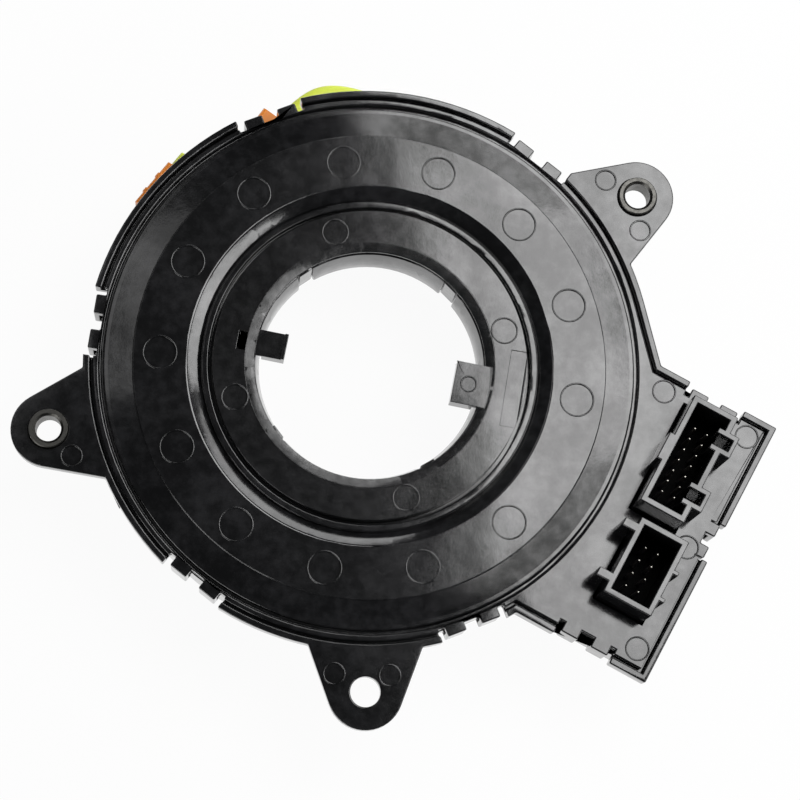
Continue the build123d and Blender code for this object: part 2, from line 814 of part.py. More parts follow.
with BuildPart() as rotor_cable_clamp:
    inner_block = sector(
        flange_top, hub_r + clamp_gap, hub_r + clamp_depth, clamp_angle - clamp_spread, clamp_angle
    )
    extrude(inner_block, amount=cable_z + cable_width - flange_top)
rotor_cable_clamp.part.label = "rotor_cable_clamp"

with BuildPart() as stator_cable_clamp:
    outer_block = sector(
        cable_z,
        cable_end_r - clamp_depth / 2,
        skirt_inner_r - clamp_gap,
        clamp_angle,
        clamp_angle + clamp_spread,
    )
    extrude(outer_block, amount=cable_width)
stator_cable_clamp.part.label = "stator_cable_clamp"

with BuildPart() as rear_slip_sheet:
    with BuildSketch(level(cover_z - sheet_t)):
        Circle(sheet_outer_r)
        Circle(sheet_inner_r, mode=Mode.SUBTRACT)
    extrude(amount=sheet_t)
rear_slip_sheet.part.label = "rear_slip_sheet"

with BuildPart() as front_slip_sheet:
    with BuildSketch(level(flange_top)):
        Circle(sheet_outer_r)
        Circle(front_sheet_inner_r, mode=Mode.SUBTRACT)
    extrude(amount=sheet_t)
front_slip_sheet.part.label = "front_slip_sheet"


# Socket of the steering-wheel switches, open to the front, and its pins
socket_home = turned_place(flange_middle_r, socket_angle)
socket_first = -(socket_pin_count - 1) * socket_pin_pitch / 2
socket_pins = [(0, socket_first + k * socket_pin_pitch) for k in range(socket_pin_count)]
with BuildPart() as rotor_connector:
    with BuildSketch(Plane.XY):
        with Locations(socket_home):
            Rectangle(socket_w, socket_l)
            Rectangle(
                socket_w - 2 * socket_wall, socket_l - 2 * socket_wall, mode=Mode.SUBTRACT
            )
    extrude(amount=flange_face_z)
    with BuildSketch(level(flange_face_z - socket_floor)):
        with Locations(socket_home):
            Rectangle(socket_w, socket_l)
            with Locations(*socket_pins):
                Rectangle(pin_w + 2 * pin_gap, pin_w + 2 * pin_gap, mode=Mode.SUBTRACT)
    extrude(amount=socket_floor)
rotor_connector.part.label = "rotor_connector"

with BuildPart() as rotor_connector_pins:
    with BuildSketch(level(socket_pin_tip_z)):
        with Locations(socket_home):
            with Locations(*socket_pins):
                Rectangle(pin_w, pin_w)
    extrude(amount=flange_face_z - socket_pin_tip_z)
rotor_connector_pins.part.label = "rotor_connector_pins"


# Outlet of the airbag leads: both leave its face that looks along the ring
outlet_home = turned_place(flange_middle_r, outlet_angle)
with BuildPart() as lead_outlet:
    with BuildSketch(level(outlet_foot)):
        with Locations(outlet_home):
            Rectangle(outlet_w, outlet_l)
    extrude(amount=flange_face_z - outlet_foot)
    fillet(lead_outlet.edges().filter_by(Axis.Z), radius=outlet_round)
lead_outlet.part.label = "lead_outlet"


def outlet_point(radial, ahead):
    """Point in front of the outlet's face, in line with a lead."""
    place = Vector(flange_middle_r + radial, outlet_l / 2 + ahead)
    point = place.rotate(Axis.Z, outlet_angle)
    return (point.X, point.Y)


def plug_point(angle, place, turn, along):
    """Point on a plug's axis, along from its middle towards the nose."""
    x, y = polar(place, angle)
    return (x + along * cos(radians(turn)), y + along * sin(radians(turn)))


def plug_plane(angle, place, turn):
    """Upright plane across a plug's middle that looks along the plug, with Y up."""
    x, y = polar(place, angle)
    look = (cos(radians(turn)), sin(radians(turn)), 0)
    return Plane(origin=(x, y, 0), x_dir=(-look[1], look[0], 0), z_dir=look)


def make_plug(angle, place, turn):
    """Plug body with rounded long edges and two grip ribs across it."""
    middle = plug_plane(angle, place, turn)
    with BuildSketch(middle.offset(-plug_l / 2)) as body:
        with Locations((0, plug_h / 2)):
            RectangleRounded(plug_w, plug_h, plug_edge)
    extrude(body.sketch, amount=plug_l)
    for offset in (-plug_l / 4, plug_l / 8):
        with BuildSketch(middle.offset(offset)) as rib:
            with Locations((0, plug_h / 2 + plug_rib / 4)):
                RectangleRounded(plug_w + plug_rib, plug_h - plug_rib / 2, plug_edge)
        extrude(rib.sketch, amount=plug_rib_t)


def make_lock(angle, place, turn):
    """Locking piece in front of the plug's body."""
    with BuildSketch(plug_plane(angle, place, turn).offset(plug_l / 2)) as face:
        with Locations((0, lock_h / 2 + lock_lift)):
            RectangleRounded(lock_w, lock_h, plug_edge)
            Circle(lock_h / 4, mode=Mode.SUBTRACT)
    extrude(face.sketch, amount=lock_l)


with BuildPart() as squib_plug_a:
    make_plug(plug_a_angle, plug_a_place, plug_a_turn)
squib_plug_a.part.label = "squib_plug_a"

with BuildPart() as squib_plug_b:
    make_plug(plug_b_angle, plug_b_place, plug_b_turn)
squib_plug_b.part.label = "squib_plug_b"

with BuildPart() as squib_lock_a:
    make_lock(plug_a_angle, plug_a_place, plug_a_turn)
squib_lock_a.part.label = "squib_lock_a"

with BuildPart() as squib_lock_b:
    make_lock(plug_b_angle, plug_b_place, plug_b_turn)
squib_lock_b.part.label = "squib_lock_b"

# Routes of the two leads on the floor, from the outlet to the back of each plug
route_a = [
    outlet_point(lead_spacing / 2, 0),
    outlet_point(lead_spacing / 2, lead_a_start),
    (42.5, 9.5),
    (36.0, 28.0),
    (24.5, 45.0),
    (9.0, 57.0),
    (-3.6, 62.4),
    plug_point(plug_a_angle, plug_a_place, plug_a_turn, -plug_l / 2 - lead_a_end),
    plug_point(plug_a_angle, plug_a_place, plug_a_turn, -plug_l / 2),
]
route_b = [
    outlet_point(-lead_spacing / 2, 0),
    outlet_point(-lead_spacing / 2, lead_b_start),
    (37.0, 10.0),
    (28.0, 27.5),
    (11.5, 38.0),
    (-6.5, 37.0),
    (-19.5, 27.5),
    (-30.2, 13.4),
    (-39.8, 11.6),
    (-47.4, 17.2),
    plug_point(plug_b_angle, plug_b_place, plug_b_turn, -plug_l / 2 - lead_b_end),
    plug_point(plug_b_angle, plug_b_place, plug_b_turn, -plug_l / 2),
]


def turn_radii(points):
    """Largest tangent arc at each inner point that its two runs allow."""
    radii = []
    for before, here, after in zip(points, points[1:], points[2:]):
        run = min(hypot(here[0] - before[0], here[1] - before[1]),
                  hypot(after[0] - here[0], after[1] - here[1]))
        first = Vector(here[0] - before[0], here[1] - before[1])
        second = Vector(after[0] - here[0], after[1] - here[1])
        turn = radians(first.get_angle(second))
        radii.append(arc_share * run / tan(turn / 2))
    return radii


def lead_tube(points):
    """Round tube along a route on the floor."""
    with BuildLine(Plane.XY.offset(lead_r)) as path:
        FilletPolyline(*points, radius=turn_radii(points))
    wire = path.wire()
    with BuildSketch(Plane(origin=wire @ 0, z_dir=wire % 0)) as face:
        Circle(lead_r)
    sweep(face.sketch, path=wire)


with BuildPart() as airbag_lead_a:
    lead_tube(route_a)
airbag_lead_a.part.label = "airbag_lead_a"

with BuildPart() as airbag_lead_b:
    lead_tube(route_b)
airbag_lead_b.part.label = "airbag_lead_b"


os.makedirs("parts", exist_ok=True)
pieces = [
    stator_case, right_ear_bush, left_ear_bush, rear_cover, upper_header, lower_header,
    upper_header_pins, lower_header_pins, terminal_carrier, rotor_hub, rear_sleeve, flat_cable,
    rotor_cable_clamp, stator_cable_clamp, rear_slip_sheet, front_slip_sheet, rotor_connector,
    rotor_connector_pins, lead_outlet, squib_plug_a, squib_plug_b, squib_lock_a, squib_lock_b,
    airbag_lead_a, airbag_lead_b,
]
for piece in pieces:
    export_step(piece.part, "parts/" + piece.part.label + ".step")
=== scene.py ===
import logging
import math
from dataclasses import dataclass
from enum import Enum
from typing import Callable, Mapping, Sequence

import bmesh
import bpy
from mathutils import Matrix, Quaternion, Vector


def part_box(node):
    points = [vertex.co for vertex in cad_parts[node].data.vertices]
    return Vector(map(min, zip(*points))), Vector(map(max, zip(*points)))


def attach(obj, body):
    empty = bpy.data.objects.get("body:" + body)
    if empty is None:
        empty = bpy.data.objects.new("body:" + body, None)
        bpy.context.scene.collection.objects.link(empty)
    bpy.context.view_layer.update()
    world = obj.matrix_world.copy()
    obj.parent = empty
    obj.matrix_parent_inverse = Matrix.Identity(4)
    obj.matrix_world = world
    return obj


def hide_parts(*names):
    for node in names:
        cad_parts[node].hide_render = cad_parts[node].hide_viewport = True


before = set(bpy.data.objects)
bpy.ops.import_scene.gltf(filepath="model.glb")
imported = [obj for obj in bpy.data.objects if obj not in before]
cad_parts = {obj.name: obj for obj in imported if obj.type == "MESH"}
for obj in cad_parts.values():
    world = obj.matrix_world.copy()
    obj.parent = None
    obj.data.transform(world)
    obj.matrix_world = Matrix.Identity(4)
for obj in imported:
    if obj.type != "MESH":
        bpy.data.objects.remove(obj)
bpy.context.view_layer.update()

# Looks of a steering clock spring: rounded mouldings, contact pins, bushes, the airbag pigtail,
# its finishes, the studio and the camera. Sizes are in metres, written as a count of MM, and
# directions round the turning axis are in degrees from x.
MM = 0.001
MERGE = 0.002 * MM  # corners nearer than this become one
FLAT = 0.5  # faces that turn by fewer degrees become one
Plan = tuple[float, float]  # x and y
Point = tuple[float, float, float]  # x, y and z
Spot = tuple[float, float, float, float]  # x, y, z and its own radius
Colour = tuple[float, float, float]  # red, green and blue
log = logging.getLogger("clock_spring")


class Body(Enum):
    """The two bodies that the turning joint parts."""

    STATOR = "stator"
    ROTOR = "rotor"


class Slot(Enum):
    """The record's material slots of the new pieces; nothing in this script applies them."""

    CASE = "case_plastic"
    HUB = "hub_plastic"
    SLEEVE = "sleeve_acetal"
    INNER = "inner_plastic"
    PINS = "tinned_pins"
    BUSH = "bush_steel"
    LEAD = "yellow_sleeving"
    PLUG = "orange_plastic"
    LOCK = "yellow_plastic"


class Rise(Enum):
    """How a value climbs between two limits."""

    STRAIGHT = "LINEAR"
    SMOOTH = "SMOOTHSTEP"


# ----------------------------------------------------------------- shader maths
class Term:
    """A shader socket that takes part in Python arithmetic."""

    def __init__(self, graph: "Graph", socket: bpy.types.NodeSocket) -> None:
        """Keeps the graph and the socket."""
        self.graph = graph
        self.socket = socket

    def _maths(self, operation: str, *values: "Term | float") -> "Term":
        """Adds a Math node.

        Args:
            operation: The node's operation.
            *values: Its inputs, in order.

        Returns:
            The node's result.
        """
        inputs = dict(enumerate(values))
        return self.graph.add("ShaderNodeMath", {"operation": operation}, inputs)

    def __add__(self, other: "Term | float") -> "Term":
        """Sum."""
        return self._maths("ADD", self, other)

    def __radd__(self, other: float) -> "Term":
        """Sum with a number on the left."""
        return self._maths("ADD", other, self)

    def __sub__(self, other: "Term | float") -> "Term":
        """Difference."""
        return self._maths("SUBTRACT", self, other)

    def __rsub__(self, other: float) -> "Term":
        """Difference from a number."""
        return self._maths("SUBTRACT", other, self)

    def __mul__(self, other: "Term | float") -> "Term":
        """Product."""
        return self._maths("MULTIPLY", self, other)

    def __rmul__(self, other: float) -> "Term":
        """Product with a number on the left."""
        return self._maths("MULTIPLY", other, self)

    def __truediv__(self, other: "Term | float") -> "Term":
        """Quotient."""
        return self._maths("DIVIDE", self, other)

    def __rtruediv__(self, other: float) -> "Term":
        """Quotient of a number by the term."""
        return self._maths("DIVIDE", other, self)

    def fraction(self) -> "Term":
        """What is left after the whole number."""
        return self._maths("FRACT", self)

    def above(self, limit: float) -> "Term":
        """1 where the value is over the limit, and 0 elsewhere."""
        return self._maths("GREATER_THAN", self, limit)

    def ramp(self, low: float, high: float, rise: Rise = Rise.SMOOTH) -> "Term":
        """Rises from 0 where the value is low to 1 where it is high."""
        inputs = {"Value": self, "From Min": low, "From Max": high}
        return self.graph.add("ShaderNodeMapRange", {"interpolation_type": rise.value}, inputs)


class Graph:
    """A node tree, with one method that adds any node."""

    def __init__(self, tree: bpy.types.NodeTree) -> None:
        """Empties the tree and keeps it."""
        tree.nodes.clear()
        self.tree = tree

    def add(
        self,
        kind: str,
        settings: Mapping[str, object] | None = None,
        inputs: Mapping[str | int, object] | None = None,
        output: str | int = 0,
    ) -> Term:
        """Adds a node.

        Args:
            kind: The node's type.
            settings: Its properties, which are set first.
            inputs: Values or terms of its sockets, by name or number.
            output: The output that is returned.

        Returns:
            That output, as a term.
        """
        node = self.tree.nodes.new(kind)
        for name, value in (settings or {}).items():
            setattr(node, name, value)
        for name, value in (inputs or {}).items():
            if isinstance(value, Term):
                self.tree.links.new(value.socket, node.inputs[name])
            else:
                node.inputs[name].default_value = value
        out = node.outputs[output] if len(node.outputs) else None
        return Term(self, out)

    def place(self) -> Term:
        """Object coordinates."""
        return self.add("ShaderNodeTexCoord", output="Object")

    def height(self, at: Term) -> Term:
        """Height of a place over the floor."""
        return self.add("ShaderNodeSeparateXYZ", None, {0: at}, "Z")

    def radius(self, at: Term) -> Term:
        """Distance of a place from the turning axis."""
        flat = self.add("ShaderNodeVectorMath", {"operation": "MULTIPLY"}, {0: at, 1: (1, 1, 0)})
        return self.add("ShaderNodeVectorMath", {"operation": "LENGTH"}, {0: flat}, "Value")

    def noise(self, at: Term, size: float, detail: float = 2.0, rough: float = 0.5) -> Term:
        """Noise from 0 to 1 whose lumps are about size metres across."""
        inputs = {"Vector": at, "Scale": 1.0 / size, "Detail": detail, "Roughness": rough}
        return self.add("ShaderNodeTexNoise", None, inputs)

    def blend(self, factor: Term, first: Colour, second: Colour) -> Term:
        """Colour from the first, where the factor is 0, to the second."""
        inputs = {0: factor, 6: rgba(first), 7: rgba(second)}
        return self.add("ShaderNodeMix", {"data_type": "RGBA"}, inputs, 2)

    def bump(self, height: Term, depth: float) -> Term:
        """Normal of a surface raised by height times depth."""
        return self.add("ShaderNodeBump", None, {"Height": height, "Distance": depth})

    def principled(self, **inputs: object) -> Term:
        """Principled shader; an underscore in an input's name stands for a space."""
        named = {name.replace("_", " "): value for name, value in inputs.items()}
        return self.add("ShaderNodeBsdfPrincipled", None, named)

    def mixed(self, factor: Term, first: Term, second: Term) -> Term:
        """Shader from the first, where the factor is 0, to the second."""
        return self.add("ShaderNodeMixShader", None, {0: factor, 1: first, 2: second})

    def finish(self, shader: Term, kind: str = "ShaderNodeOutputMaterial") -> None:
        """Sends a shader to the tree's output."""
        self.add(kind, None, {"Surface": shader})


def rgba(colour: Colour) -> tuple[float, float, float, float]:
    """Gives a colour its alpha.

    Args:
        colour: Red, green and blue.

    Returns:
        The same colour, opaque.
    """
    return (*colour, 1.0)


def times(colour: Colour, share: float, lift: float = 0.0) -> Colour:
    """Makes a colour darker or paler.

    Args:
        colour: Red, green and blue.
        share: What each is multiplied by.
        lift: What is added to each then.

    Returns:
        The new colour.
    """
    return tuple(share * part + lift for part in colour)


# --------------------------------------------------------------------- finishes
@dataclass(frozen=True)
class Finish:
    """A named finish that is made into a material once."""

    name: str

    def paint(self, graph: Graph) -> Term:
        """Builds the shader."""
        raise NotImplementedError

    def material(self) -> bpy.types.Material:
        """Makes the finish's material on first use.

        Returns:
            The material. Its name has a suffix, because the CAD's own are named as the slots.
        """
        name = self.name + "_finish"
        made = bpy.data.materials.get(name)
        if made is None:
            made = bpy.data.materials.new(name)
            made.use_nodes = True
            graph = Graph(made.node_tree)
            graph.finish(self.paint(graph))
        return made


@dataclass(frozen=True)
class BlackMoulding(Finish):
    """Injection-moulded black plastic: gloss, sink waves, flow mottling, grain, an uneven skin.

    Where fall is set, the bump slopes the face down between two distances from the axis, by
    that part of their difference. Where a height for the painted shade is set, all that lies
    lower is matt black: painted shade for the shaded inside of a deep socket.
    """

    colour: Colour = (0.0040, 0.0040, 0.0043)
    roughness: float = 0.13
    ior: float = 1.5
    grain: float = 0.35 * MM
    mottle: float = 2.2 * MM
    mottles_in_cloud: float = 7
    swell: float = 14 * MM
    grain_depth: float = 0.003
    mottle_depth: float = 0.018
    swell_depth: float = 0.20
    paler: float = 4.0
    tone_rise: tuple[float, float] = (0.38, 0.70)
    coat_rise: tuple[float, float] = (0.34, 0.68)
    coat_least: float = 0.25
    coat_span: float = 0.5
    coat_roughness: float = 0.09
    coat_ior: float = 1.55
    fall: float = 0.0
    fall_from: float = 45.6 * MM
    fall_to: float = 50.2 * MM
    # painted shade: below this height the moulding turns matt black, standing in for the shade
    # inside a deep socket
    painted_shade_below: float = 0.0
    painted_shade_edge: float = 0.5 * MM
    painted_shade_colour: Colour = (0.003, 0.003, 0.003)
    painted_shade_roughness: float = 0.9
    painted_shade_ior: float = 1.2

    def paint(self, graph: Graph) -> Term:
        """Builds the shader.

        Args:
            graph: The material's node tree.

        Returns:
            The shader.
        """
        at = graph.place()
        grain = graph.noise(at, self.grain, 3.0, 0.6)
        mottle = graph.noise(at, self.mottle, 4.0, 0.62)
        swell = graph.noise(at, self.swell, 1.0)
        cloud = graph.noise(at, self.mottles_in_cloud * self.mottle, 3.0)
        tone = (mottle * 0.55 + cloud * 0.45).ramp(*self.tone_rise)
        skin = (cloud * 0.65 + mottle * 0.35).ramp(*self.coat_rise)
        height = (
            swell * self.swell_depth + mottle * self.mottle_depth + grain * self.grain_depth
        )
        if self.fall:
            drop = self.fall * (self.fall_to - self.fall_from) / MM
            out = graph.radius(at).ramp(self.fall_from, self.fall_to, Rise.STRAIGHT)
            height = height - out * drop
        gloss = graph.principled(
            Base_Color=graph.blend(tone, self.colour, times(self.colour, self.paler)),
            Roughness=self.roughness - 0.04 + 0.05 * mottle + 0.04 * cloud,
            Normal=graph.bump(height, MM),
            IOR=self.ior,
            Coat_Weight=skin * self.coat_span + self.coat_least,
            Coat_Roughness=self.coat_roughness,
            Coat_IOR=self.coat_ior,
        )
        if not self.painted_shade_below:
            return gloss
        # painted shade: a matt black shader, mixed in below the given height, for the shaded
        # inside of a socket
        painted_shade = graph.principled(
            Base_Color=rgba(self.painted_shade_colour), Roughness=self.painted_shade_roughness, IOR=self.painted_shade_ior
        )
        share = graph.height(at).ramp(self.painted_shade_below, self.painted_shade_below + self.painted_shade_edge)
        return graph.mixed(share, painted_shade, gloss)


@dataclass(frozen=True)
class BrightMoulding(Finish):
    """Coloured moulding with a little unevenness in its colour."""

    colour: Colour
    roughness: float = 0.36
    grain: float = 0.3 * MM
    grain_depth: float = 0.01 * MM
    cloud: float = 3 * MM
    deeper: float = 0.82

    def paint(self, graph: Graph) -> Term:
        """Builds the shader.

        Args:
            graph: The material's node tree.

        Returns:
            The shader.
        """
        at = graph.place()
        grain = graph.noise(at, self.grain, 3.0)
        tone = graph.noise(at, self.cloud, 3.0).ramp(0.3, 0.7)
        return graph.principled(
            Base_Color=graph.blend(tone, times(self.colour, self.deeper), self.colour),
            Roughness=self.roughness + 0.1 * (grain - 0.5),
            Normal=graph.bump(grain, self.grain_depth),
        )


@dataclass(frozen=True)
class Sleeving(Finish):
    """Soft extruded sleeving over a lead, faintly wavy and a little dusty."""

    colour: Colour
    wave: float = 1.4 * MM
    dust: float = 0.25 * MM
    relief: float = 0.03 * MM

    def paint(self, graph: Graph) -> Term:
        """Builds the shader.

        Args:
            graph: The material's node tree.

        Returns:
            The shader.
        """
        at = graph.place()
        wave = graph.noise(at, self.wave, 2.0)
        dust = graph.noise(at, self.dust, 4.0, 0.7)
        worn = times(self.colour, 0.78, 0.03)
        return graph.principled(
            Base_Color=graph.blend(dust.ramp(0.45, 0.8), self.colour, worn),
            Roughness=0.42 + 0.16 * dust,
            Normal=graph.bump(wave * 3.0 + dust * 0.4, self.relief),
        )


@dataclass(frozen=True)
class Metal(Finish):
    """Plated metal with fine tool lines along one axis and a little tarnish."""

    colour: Colour
    roughness: float
    squeeze: Point = (0.6, 0.6, 8.0)
    line: float = 0.8 * MM
    line_depth: float = 0.006 * MM
    stain: float = 1.1 * MM
    duller: float = 0.62

    def paint(self, graph: Graph) -> Term:
        """Builds the shader.

        Args:
            graph: The material's node tree.

        Returns:
            The shader.
        """
        at = graph.place()
        squeezed = graph.add("ShaderNodeMapping", None, {"Vector": at, "Scale": self.squeeze})
        lines = graph.noise(squeezed, self.line, 3.0, 0.6)
        tarnish = graph.noise(at, self.stain, 4.0, 0.6).ramp(0.45, 0.75)
        return graph.principled(
            Base_Color=graph.blend(tarnish * 0.6, self.colour, times(self.colour, self.duller)),
            Metallic=1.0,
            Roughness=self.roughness + 0.14 * lines + 0.1 * tarnish,
            Normal=graph.bump(lines, self.line_depth),
        )


@dataclass(frozen=True)
class RibbonFilm(Finish):
    """Laminated film that shows its flat conductors as bands across its width."""

    film: Colour = (0.62, 0.52, 0.36)
    copper: Colour = (0.78, 0.36, 0.16)
    pitch: float = 1.2 * MM
    bottom: float = 14.1 * MM
    gap_share: float = 0.38
    haze: float = 4 * MM
    relief: float = 0.02 * MM

    def paint(self, graph: Graph) -> Term:
        """Builds the shader.

        Args:
            graph: The material's node tree.

        Returns:
            The shader.
        """
        at = graph.place()
        up = graph.height(at)
        band = ((up - self.bottom) / self.pitch).fraction().above(self.gap_share)
        haze = graph.noise(at, self.haze, 2.0)
        return graph.principled(
            Base_Color=graph.blend(band * 0.7, self.film, self.copper),
            Roughness=0.28 + 0.12 * haze,
            Normal=graph.bump(band, self.relief),
        )


CASE = BlackMoulding("case_black")
COVER = BlackMoulding("cover_black", fall=0.14)
# painted shade: the header sockets are painted matt black below 25 mm, where shade falls
SHROUD = BlackMoulding("shroud_black_painted_shade", painted_shade_below=25.0 * MM)
HUB = BlackMoulding("hub_black", roughness=0.09, ior=1.85)
SLEEVE = BlackMoulding(
    "sleeve_black", colour=(0.0045, 0.0045, 0.0047), swell_depth=0.10,
    fall=0.62, fall_from=22.2 * MM, fall_to=24.2 * MM,
)
INNER = BlackMoulding("inner_black", colour=(0.012, 0.012, 0.012), roughness=0.36)
STEEL = Metal("bush_steel", (0.088, 0.086, 0.080), 0.30)
TIN = Metal("tinned_brass", (0.46, 0.44, 0.40), 0.26, squeeze=(3.0, 3.0, 0.5))
YELLOW = Sleeving("yellow_sleeving", (0.80, 0.93, 0.09))
LOCK = BrightMoulding("yellow_lock", (0.83, 0.94, 0.11))
ORANGE = BrightMoulding("orange_plug", (0.95, 0.30, 0.040))
RIBBON = RibbonFilm("ribbon_film")
SHEET = BrightMoulding("slip_film", (0.72, 0.71, 0.67), 0.45)


# -------------------------------------------------------------------- modelling
def deselect() -> None:
    """Leaves nothing selected."""
    for piece in bpy.context.selected_objects:
        piece.select_set(False)


def activate(piece: bpy.types.Object) -> None:
    """Makes a piece the only selected one, and the active one.

    Args:
        piece: The piece.
    """
    deselect()
    piece.select_set(True)
    bpy.context.view_layer.objects.active = piece


def modify(piece: bpy.types.Object, kind: str, **settings: object) -> None:
    """Adds a modifier and applies it.

    Args:
        piece: The piece.
        kind: The modifier's type.
        **settings: Its properties.
    """
    activate(piece)
    made = piece.modifiers.new(kind.lower(), kind)
    for name, value in settings.items():
        setattr(made, name, value)
    bpy.ops.object.modifier_apply(modifier=made.name)


def smooth(piece: bpy.types.Object, angle: float = 46.0) -> None:
    """Smooths the shading across shallow edges and keeps flat faces flat.

    Args:
        piece: The piece.
        angle: Edges with a larger turn stay sharp, in degrees.
    """
    activate(piece)
    bpy.ops.object.shade_smooth_by_angle(angle=math.radians(angle))
    modify(piece, "WEIGHTED_NORMAL", keep_sharp=True, weight=60)


def settle(piece: bpy.types.Object, name: str) -> bpy.types.Object:
    """Names a piece and puts its place into its mesh.

    Args:
        piece: The piece.
        name: Its name.

    Returns:
        The piece.
    """
    activate(piece)
    bpy.ops.object.transform_apply(location=True, rotation=True, scale=True)
    piece.name = name
    piece.data.name = name
    return piece


def join(pieces: Sequence[bpy.types.Object], name: str) -> bpy.types.Object:
    """Joins pieces into the first one.

    Args:
        pieces: The pieces.
        name: The name of what they become.

    Returns:
        The joined piece.
    """
    activate(pieces[0])
    for piece in pieces[1:]:
        piece.select_set(True)
    if len(pieces) > 1:
        bpy.ops.object.join()
    return settle(pieces[0], name)


def twin(piece: bpy.types.Object, matrix: Matrix) -> bpy.types.Object:
    """Copies a piece, with a mesh of its own.

    Args:
        piece: The piece.
        matrix: How the copy's mesh is moved.

    Returns:
        The copy.
    """
    copy = bpy.data.objects.new(piece.name + "_twin", piece.data.copy())
    bpy.context.scene.collection.objects.link(copy)
    copy.data.transform(matrix)
    return copy


def pick_faces(piece: bpy.types.Object, wanted: Callable[[Vector, Vector], bool]) -> None:
    """In edit mode, selects faces by their place or normal.

    Args:
        piece: The piece that is edited.
        wanted: Says for a face's middle and normal whether it is selected.
    """
    bpy.ops.mesh.select_mode(type="FACE")
    bpy.ops.mesh.select_all(action="DESELECT")
    mesh = bmesh.from_edit_mesh(piece.data)
    for face in mesh.faces:
        face.select_set(wanted(face.calc_center_median(), face.normal))
    bmesh.update_edit_mesh(piece.data)


def block(low: Point, high: Point) -> bpy.types.Object:
    """Starts a piece as a box.

    Args:
        low: Its lowest corner.
        high: Its highest corner.

    Returns:
        The box, active in object mode.
    """
    deselect()
    middle = [(a + b) / 2 for a, b in zip(low, high)]
    bpy.ops.mesh.primitive_cube_add(size=1.0, location=middle)
    piece = bpy.context.active_object
    piece.scale = [b - a for a, b in zip(low, high)]
    bpy.ops.object.transform_apply(location=True, rotation=True, scale=True)
    return piece


def lathe(profile: Sequence[Plan], centre: Point, sides: int) -> bpy.types.Object:
    """Turns a ring: a circle that is extruded from point to point of a closed profile.

    Args:
        profile: Radius and height pairs, round the section once.
        centre: Where its axis meets height 0.
        sides: Corners of the circle.

    Returns:
        The closed ring.
    """
    deselect()
    x, y, z = centre
    radius, height = profile[0]
    bpy.ops.mesh.primitive_circle_add(vertices=sides, radius=radius, location=(x, y, z + height))
    piece = bpy.context.active_object
    bpy.ops.object.transform_apply(location=True, rotation=True, scale=True)
    bpy.ops.object.mode_set(mode="EDIT")
    bpy.ops.mesh.select_all(action="SELECT")
    for new_radius, new_height in [*profile[1:], profile[0]]:
        bpy.ops.mesh.extrude_region_move(
            TRANSFORM_OT_translate={"value": (0, 0, new_height - height)}
        )
        share = new_radius / radius
        bpy.ops.transform.resize(value=(share, share, 1), center_override=(x, y, z + new_height))
        radius, height = new_radius, new_height
    bpy.ops.mesh.select_all(action="SELECT")
    bpy.ops.mesh.remove_doubles(threshold=MERGE)
    bpy.ops.mesh.normals_make_consistent(inside=False)
    bpy.ops.object.mode_set(mode="OBJECT")
    return piece


def bevel_weights(
    piece: bpy.types.Object, width: float, least_angle: float = 28.0,
    room_share: float = 0.38, in_line: float = 0.87,
) -> None:
    """Marks the sharp edges for a bevel, with less width where the faces beside them are narrow.

    Args:
        piece: The piece.
        width: The full width of the bevel.
        least_angle: Edges with a smaller turn are left alone, in degrees.
        room_share: The part of the room beside an edge that its rounding may take.
        in_line: The cosine past which a neighbour only carries the edge on, and gives no room.
    """
    mesh = bmesh.new()
    mesh.from_mesh(piece.data)
    layer = mesh.edges.layers.float.new("bevel_weight_edge")
    for edge in mesh.edges:
        if len(edge.link_faces) != 2 or edge.calc_face_angle(0.0) < math.radians(least_angle):
            continue
        along = (edge.verts[1].co - edge.verts[0].co).normalized()
        room = 4 * width
        for corner in edge.verts:
            for other in corner.link_edges:
                side = other.other_vert(corner).co - corner.co
                if other is not edge and abs(side.normalized().dot(along)) < in_line:
                    room = min(room, side.length)
        edge[layer] = min(1.0, room_share * room / width)
    mesh.to_mesh(piece.data)
    mesh.free()


def cut_sectors(angles: Sequence[float]) -> None:
    """In edit mode, cuts a merged mesh by planes through the axis and marks the cuts as seams.

    A flat face with holes is then parted beside them, so that no merged face closes on itself.

    Args:
        angles: Directions of the planes, in degrees.
    """
    bpy.ops.mesh.select_mode(type="EDGE")
    for angle in angles:
        turned = math.radians(angle)
        bpy.ops.mesh.select_all(action="SELECT")
        bpy.ops.mesh.bisect(
            plane_co=(0, 0, 0), plane_no=(-math.sin(turned), math.cos(turned), 0),
            threshold=MERGE,
        )
        bpy.ops.mesh.mark_seam(clear=False)


def moulding(
    node: str, name: str, width: float, sectors: Sequence[float] = (), clamp: bool = False
) -> bpy.types.Object:
    """Copies a CAD node, merges its faces and rounds its edges.

    Args:
        node: The CAD node.
        name: The new piece's name.
        width: Width of the rounding.
        sectors: Directions of the cuts through the axis, in degrees.
        clamp: Whether the rounding stops where it would overlap.

    Returns:
        The new piece.
    """
    piece = bpy.data.objects.new(name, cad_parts[node].data.copy())
    bpy.context.scene.collection.objects.link(piece)
    piece.data.materials.clear()
    activate(piece)
    bpy.ops.object.mode_set(mode="EDIT")
    bpy.ops.mesh.select_all(action="SELECT")
    bpy.ops.mesh.remove_doubles(threshold=MERGE)
    cut_sectors(sectors)
    bpy.ops.mesh.select_all(action="SELECT")
    bpy.ops.mesh.dissolve_limited(angle_limit=math.radians(FLAT), delimit={"SEAM"})
    bpy.ops.object.mode_set(mode="OBJECT")
    bevel_weights(piece, width)
    modify(piece, "BEVEL", limit_method="WEIGHT", width=width, segments=2, use_clamp_overlap=clamp)
    smooth(piece)
    return settle(piece, name)


